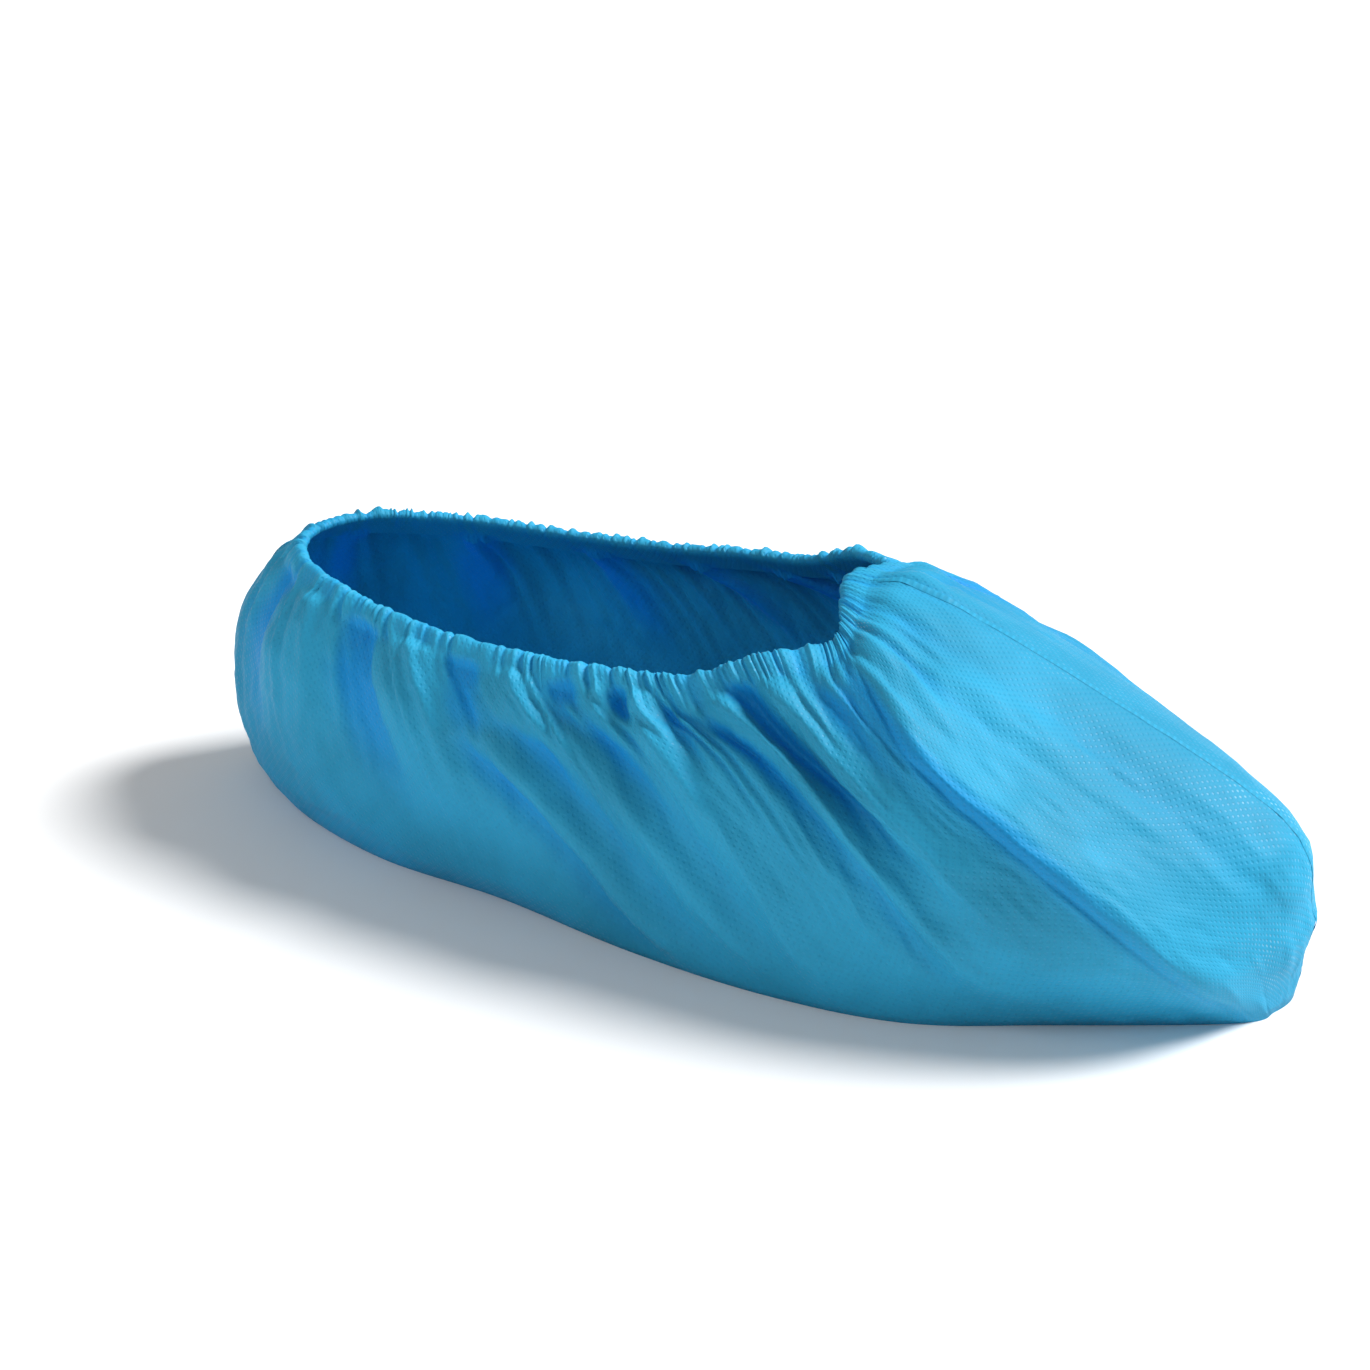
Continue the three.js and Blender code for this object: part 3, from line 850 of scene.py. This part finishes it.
# %% Sweep the hem
HEM_COLUMNS = 2400
HEM_SECTION = [
    # share inside, out from the cloth, up from its edge, share of the extra ruffles
    (0, -0.3, -5.2, 0), (0, -0.06, -4.4, 0), (0, 0.03, -3.5, 0),
    (0, 0.07, -2.5, 0.1), (0, 0.11, -1.4, 0.3), (0, 0.16, -0.3, 0.5),
    (0, 0.24, 0.9, 0.8), (0, 0.32, 2.0, 1), (0.03, 0.36, 2.9, 1.1),
    (0.12, 0.36, 3.6, 1.1), (0.3, 0.34, 4.1, 1), (0.52, 0.28, 4.3, 0.8),
    (0.75, 0.2, 4.1, 0.6), (0.93, 0.1, 3.4, 0.4), (1, 0, 2.0, 0),
    (1, 0, 0.4, 0), (1, 0, -1.4, 0), (1, 0, -3.2, 0),
    (1, 0, -5.0, 0),
]
HEM_RUFFLE = 0.30 * MM
HEM_INSIDE = -1.75 * MM    # where the inner leaf lies, seen from the form
LEAF_GAP = 0.85 * MM       # and never nearer than this to the outside of the cloth
LIP_SCALLOP = 0.5 * MM
CRUMPLE_PACE = 2.3         # crumples for each ruffle
DEEPEST_PUSH = 0.4         # a pinch stops here, clear of the sheet

hem_rounds = np.linspace(0, ROUND, HEM_COLUMNS, endpoint=False)
edge_up = form_at(hem_rounds, 0.0) - form_at(hem_rounds, down_of(hem_rounds, 3 * MM))
edge_up /= np.linalg.norm(edge_up, axis=1, keepdims=True)
ruffle = wave(hem_rounds, ruffle_phase, ruffle_size, 0.7)
crumple = wave(hem_rounds, ruffle_phase * CRUMPLE_PACE + 0.3, np.abs(lip_size), 1.0)
lip_wander = np.interp(hem_rounds, gather_rounds, lip_size, period=ROUND)
push = HEM_RUFFLE * (np.maximum(ruffle + 0.5 * crumple, -DEEPEST_PUSH) + DEEPEST_PUSH)

hem_rows, hem_groove_shades, hem_glints = [], [], []
for inside, out, up, share in HEM_SECTION:
    depth = max(-up, 0) * MM
    hem_downs = down_of(hem_rounds, depth)
    base, base_out, rise = cloth_parts(hem_rounds, hem_downs)
    outer = rise + out * MM + share * push
    # painted shade in the hem's grooves, and painted glints on its points
    hem_groove_shades.append(groove_shade_share(rise, np.full(HEM_COLUMNS, depth)))
    hem_glints.append(glint_share(hem_rounds, hem_downs))
    inner = np.minimum(rise - LEAF_GAP, HEM_INSIDE)
    offset = outer * (1 - inside) + inner * inside
    lift = max(up, 0) * MM + LIP_SCALLOP * smooth_step((up - 1) / 3) * (ruffle + lip_wander)
    hem_rows.append(base + base_out * offset[:, None]
                    + edge_up * np.broadcast_to(lift, HEM_COLUMNS)[:, None])
hem_places = np.array(hem_rows)
print("the hem's section has", len(HEM_SECTION), "points")

# %% Build the hem
hem_corners = grid_faces(len(HEM_SECTION), HEM_COLUMNS)
hem_across = np.interp(np.append(hem_rounds, ROUND), np.append(rounds, ROUND), across_at)
hem_depths = np.concatenate([[0], np.cumsum(
    np.linalg.norm(np.diff(hem_places, axis=0), axis=2).mean(axis=1))])
hem_uvs = [np.stack([hem_across[c[:, 1]], -hem_depths[c[:, 0]]], axis=1) for c in hem_corners]
ruffled_hem = mesh_piece("ruffled_hem", hem_places.reshape(-1, 3),
                         wrapped_faces(hem_corners, HEM_COLUMNS), hem_uvs)
# painted shade and painted glints, as on the sheet
mark(ruffled_hem, "painted_groove_shade", np.array(hem_groove_shades))
mark(ruffled_hem, "painted_glints", np.array(hem_glints))
print("hem:", len(ruffled_hem.data.polygons), "faces")

# %% [markdown]
# ## Welded seams
#
# Up the toe and up the heel the two sides of the sheet are fused by a heated wheel. It
# leaves a narrow strip crossed by short bars, which hardly shows on cloth of the same
# blue. We lay a strip along the toe and one along the heel, just above the cloth so that
# the two don't touch, with a bar about every two millimetres.

# %% Lay the seams
SEAM_WIDE = 1.8 * MM
SEAM_CLEAR = 0.07 * MM
BAR_PITCH = 1.9 * MM
BAR_RISE = 0.06 * MM
SEAM_STEP = 0.30 * MM
WELD_THICK = 0.04 * MM
SEAM_TOP = HEM_DEEP + 0.6 * MM
SEAM_FLOOR = 3.0 * MM
SEAM_PROFILE = (-1.0, -0.85, -0.45, 0.0, 0.45, 0.85, 1.0)


def seam_piece(name, rib):
    """A fused strip down one rib, from under the hem to near the floor."""
    depths = np.arange(SEAM_TOP, depth_table[-1].max(), SEAM_STEP)
    stops = down_of(rib, depths)
    height = cloth_at(rib, stops)[0][:, 2]
    depths, stops = depths[height > SEAM_FLOOR], stops[height > SEAM_FLOOR]
    ribs_a_metre = 2 * SLOPE / np.linalg.norm(
        form_at(rib + SLOPE, stops) - form_at(rib - SLOPE, stops), axis=1)
    bars = 0.5 + 0.5 * np.cos(2 * math.pi * depths / BAR_PITCH)
    places = []
    for across in SEAM_PROFILE:
        spots, out = cloth_at(rib + across * SEAM_WIDE / 2 * ribs_a_metre, stops)
        rise = SEAM_CLEAR + (1 - abs(across) ** 6) * BAR_RISE * bars
        places.append(spots + out * rise[:, None])
    corners = grid_faces(len(SEAM_PROFILE), len(stops), closed=False)
    faces = (corners[..., 0] * len(stops) + corners[..., 1]).tolist()
    strips = len(SEAM_PROFILE) - 1
    uvs = [np.stack([c[:, 0] * SEAM_WIDE / strips, depths[c[:, 1]]], axis=1) for c in corners]
    piece = mesh_piece(name, np.array(places).reshape(-1, 3), faces, uvs)
    face_outwards(piece, Vector((0, 0, 0)))
    thicken(piece, WELD_THICK)
    print(name, "is", round((depths[-1] - depths[0]) / MM), "mm long")
    return piece


toe_weld = seam_piece("toe_weld", 0)
heel_weld = seam_piece("heel_weld", HALF_ROUND)

# %% [markdown]
# ## Materials
#
# Spunbonded cloth is a mat of fine fibres, pressed between hot rollers that fuse it at
# thousands of small points. They are dents, smoother and a little darker than the fluffy
# cloth between them, and light comes through so thin a sheet. So the material has a
# staggered grid of points, a fibre noise, soft clouds where the mat is thicker, and a
# share of translucency. Two marks on the mesh paint light and shade into it: a deeper
# blue as painted shade in the grooves and along the crease, and pale points as painted
# glints over the toe, along the top of the vamp and at the front of the rim.

# %% Node helpers
class Recipe:
    """A material, with short calls for the nodes it uses most."""

    def __init__(self, name):
        self.material = bpy.data.materials.new(name)
        self.material.use_nodes = True
        self.tree = self.material.node_tree
        self.shader = self.tree.nodes["Principled BSDF"]
        self.output = self.tree.nodes["Material Output"]

    def node(self, kind, **settings):
        """A new node with these properties."""
        made = self.tree.nodes.new(kind)
        for name, value in settings.items():
            setattr(made, name, value)
        return made

    def set(self, socket, value):
        """Links a socket to another one, or gives it a constant."""
        if isinstance(value, bpy.types.NodeSocket):
            self.tree.links.new(value, socket)
        else:
            socket.default_value = value

    def fed(self, kind, **inputs):
        """The first output of a new node with these inputs."""
        made = self.node(kind)
        for name, value in inputs.items():
            self.set(made.inputs[name], value)
        return made.outputs[0]

    def filled(self, made, *values):
        """The first output of a node, with its inputs set in their own order."""
        for socket, value in zip(made.inputs, values):
            self.set(socket, value)
        return made.outputs[0]

    def math(self, operation, *values):
        return self.filled(self.node("ShaderNodeMath", operation=operation), *values)

    def between(self, value, low, high, to_low=0.0, to_high=1.0):
        made = self.node("ShaderNodeMapRange", interpolation_type="SMOOTHSTEP")
        return self.filled(made, value, low, high, to_low, to_high)

    def mix(self, share, first, second):
        made = self.node("ShaderNodeMix", data_type="RGBA")
        for index, value in ((0, share), (6, first), (7, second)):
            self.set(made.inputs[index], value)
        return made.outputs[2]

    def noise(self, vector, scale, detail=3.0, roughness=0.5):
        return self.fed("ShaderNodeTexNoise", Vector=vector, Scale=scale, Detail=detail,
                        Roughness=roughness)

    def place(self):
        """The place in space, in metres."""
        return self.node("ShaderNodeTexCoord").outputs["Object"]

    def cloth(self):
        """The place on the flat cloth, in metres."""
        return self.node("ShaderNodeUVMap", uv_map="cloth").outputs[0]

    def mark(self, name):
        """A share stored on the mesh."""
        return self.node("ShaderNodeAttribute", attribute_name=name).outputs["Fac"]

    def parts(self, vector):
        """The x, y and z of a vector."""
        made = self.node("ShaderNodeSeparateXYZ")
        self.filled(made, vector)
        return made.outputs

    def bump(self, height, distance, strength=1.0):
        """Shades the surface as if it had this height, and returns the normal."""
        normal = self.fed("ShaderNodeBump", Strength=strength, Distance=distance, Height=height)
        self.set(self.shader.inputs["Normal"], normal)
        return normal

    def let_light_through(self, share, colour, normal):
        """Makes a share of the surface glow with the light behind it."""
        glow = self.fed("ShaderNodeBsdfTranslucent", Color=colour, Normal=normal)
        blend = self.node("ShaderNodeMixShader")
        self.set(self.output.inputs["Surface"],
                 self.filled(blend, share, self.shader.outputs[0], glow))


# %% Non-woven cloth
POINT_PITCH = 2.3 * MM     # along a row
POINT_ROW = 1.15 * MM
POINT_LONG = 0.30          # of the pitch
POINT_TALL = 0.36
POINT_DENT = 0.085 * MM
CLOUDS_A_METRE = 22.0
MAT_A_METRE = 160.0
FIBRES_A_METRE = (900.0, 3500.0, 1.0)
FIBRE_SLANT = 0.5
OPEN_ROUGHNESS = 0.62
THIN_BLUE = (0.020, 0.345, 0.570, 1.0)
THICK_BLUE = (0.028, 0.440, 0.720, 1.0)
# the deeper blue painted as shade in the grooves
GROOVE_SHADE_BLUE = (0.003, 0.345, 0.790, 1.0)
POINT_BLUE = (0.010, 0.330, 0.620, 1.0)
# the pale blue painted on the points as glints
GLINT_BLUE = (0.300, 0.700, 0.900, 1.0)


def point_pattern(r, cloth):
    """1 on an embossed point and 0 between, in rows that are shifted by turns."""
    across, down, _ = r.parts(cloth)
    row_place = r.math("DIVIDE", down, POINT_ROW)
    row = r.math("FLOOR", row_place)
    shift = r.math("MULTIPLY", r.math("MODULO", row, 2.0), 0.5)
    place = r.math("ADD", r.math("DIVIDE", across, POINT_PITCH), shift)
    x = r.math("SUBTRACT", r.math("FRACT", place), 0.5)
    y = r.math("SUBTRACT", r.math("FRACT", row_place), 0.5)
    x2 = r.math("POWER", r.math("DIVIDE", x, POINT_LONG * 0.5), 2.0)
    y2 = r.math("POWER", r.math("DIVIDE", y, POINT_TALL), 2.0)
    return r.between(r.math("SQRT", r.math("ADD", x2, y2)), 1.35, 0.65)


def non_woven(name, see_through, gloss):
    """Spunbonded cloth with its embossed points."""
    r = Recipe(name)
    cloth = r.cloth()
    point = point_pattern(r, cloth)
    slanted = r.fed("ShaderNodeMapping", Vector=cloth, Scale=FIBRES_A_METRE,
                    Rotation=(0.0, 0.0, FIBRE_SLANT))
    fibres = r.noise(slanted, 1.0, roughness=0.7)
    clouds = r.noise(r.place(), CLOUDS_A_METRE)
    mat = r.noise(r.place(), MAT_A_METRE, 4.0, 0.6)

    # open cloth, thin and thick, and a deeper blue painted as shade in the grooves
    tone = r.between(clouds, 0.3, 0.7, -0.5, 0.5)
    tone = r.math("MULTIPLY_ADD", mat, 0.5, tone)
    tone = r.math("MULTIPLY_ADD", fibres, 0.4, tone)
    open_cloth = r.mix(r.between(tone, -0.2, 1.1), THIN_BLUE, THICK_BLUE)
    base = r.mix(r.between(r.mark("painted_groove_shade"), 0.0, 1.0), open_cloth, GROOVE_SHADE_BLUE)

    # points, a little darker, and patchily pale as painted glints
    glint_amount = r.math("MULTIPLY", r.mark("painted_glints"), r.between(clouds, 0.30, 0.52))
    glint_amount = r.math("MULTIPLY", glint_amount, r.between(mat, 0.36, 0.62, 0.25, 1.0))
    point_and_glint_colour = r.mix(glint_amount, POINT_BLUE, GLINT_BLUE)
    seen = r.math("MULTIPLY_ADD", glint_amount, 0.72, 0.15)
    colour = r.mix(r.math("MULTIPLY", point, seen), base, point_and_glint_colour)
    r.set(r.shader.inputs["Base Color"], colour)
    r.set(r.shader.inputs["Roughness"], r.between(point, 0.0, 1.0, OPEN_ROUGHNESS, gloss))
    r.shader.inputs["Specular IOR Level"].default_value = 0.28
    r.shader.inputs["Sheen Weight"].default_value = 0.02
    r.shader.inputs["Sheen Roughness"].default_value = 0.5

    # relief: points pressed in, fibres and mat standing up
    height = r.math("MULTIPLY", point, -1.0)
    height = r.math("MULTIPLY_ADD", fibres, 0.22, height)
    height = r.math("MULTIPLY_ADD", mat, 0.30, height)
    r.let_light_through(see_through, colour, r.bump(height, POINT_DENT))
    print(name, "lets", see_through, "of the light through")
    return r.material


sheet_cloth = non_woven("spunbonded_cloth", see_through=0.22, gloss=0.38)
hem_cloth = non_woven("turned_hem_cloth", see_through=0.16, gloss=0.40)
cover_sheet.data.materials.append(sheet_cloth)
ruffled_hem.data.materials.append(hem_cloth)


# %% [markdown]
# ## The seam and the elastic
#
# Fused cloth has melted to a film, so the weld has the same blues, but it is smoother and
# its bars are paler. The elastic is rubber threads under a fine white knit. The hem hides
# it, so lines and some fuzz are enough.

# %% Fused seam and elastic
WELD_SEE_THROUGH = 0.22
THREAD_PITCH = 0.6 * MM
KNIT_SHADE, KNIT_WHITE = (0.60, 0.64, 0.68, 1.0), (0.83, 0.86, 0.88, 1.0)


def fused_weld(name):
    """Cloth melted to a film: smoother than the rest, with paler bars."""
    r = Recipe(name)
    _, down, _ = r.parts(r.cloth())
    turn = r.math("MULTIPLY", down, 2 * math.pi / BAR_PITCH)
    bar = r.between(r.math("COSINE", turn), -0.2, 0.8)
    cloudy = r.noise(r.place(), 300.0)
    share = r.math("MULTIPLY_ADD", cloudy, 0.5, r.math("MULTIPLY", bar, 0.6))
    colour = r.mix(share, THIN_BLUE, THICK_BLUE)
    r.set(r.shader.inputs["Base Color"], colour)
    r.set(r.shader.inputs["Roughness"], r.between(cloudy, 0.3, 0.7, 0.50, 0.62))
    r.shader.inputs["Specular IOR Level"].default_value = 0.3
    r.let_light_through(WELD_SEE_THROUGH, colour, r.bump(cloudy, 0.08 * MM, 0.7))
    return r.material


def covered_elastic(name):
    """White elastic: rubber threads side by side under a fine knitted cover."""
    r = Recipe(name)
    _, _, up = r.parts(r.place())
    threads = r.math("SINE", r.math("MULTIPLY", up, 2 * math.pi / THREAD_PITCH))
    fuzz = r.noise(r.place(), 900.0, 2.0)
    tone = r.math("MULTIPLY_ADD", threads, 0.25, fuzz)
    r.set(r.shader.inputs["Base Color"], r.mix(r.between(tone, 0.2, 0.9), KNIT_SHADE, KNIT_WHITE))
    r.set(r.shader.inputs["Roughness"], r.between(fuzz, 0.3, 0.7, 0.65, 0.85))
    r.bump(tone, 0.1 * MM)
    return r.material


weld_film = fused_weld("fused_weld_film")
for weld in (toe_weld, heel_weld):
    weld.data.materials.append(weld_film)
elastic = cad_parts["elastic_band"]
elastic.material_slots[0].material = covered_elastic("covered_elastic")
print(len(bpy.data.materials), "materials")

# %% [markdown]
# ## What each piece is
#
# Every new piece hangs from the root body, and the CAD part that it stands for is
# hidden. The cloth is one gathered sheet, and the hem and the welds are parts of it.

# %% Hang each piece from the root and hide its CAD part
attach(cover_sheet, "root")
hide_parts("cover_body")
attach(ruffled_hem, "root")
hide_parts("gathered_hem")
for weld, node in ((toe_weld, "toe_seam"), (heel_weld, "heel_seam")):
    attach(weld, "root")
    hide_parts(node)
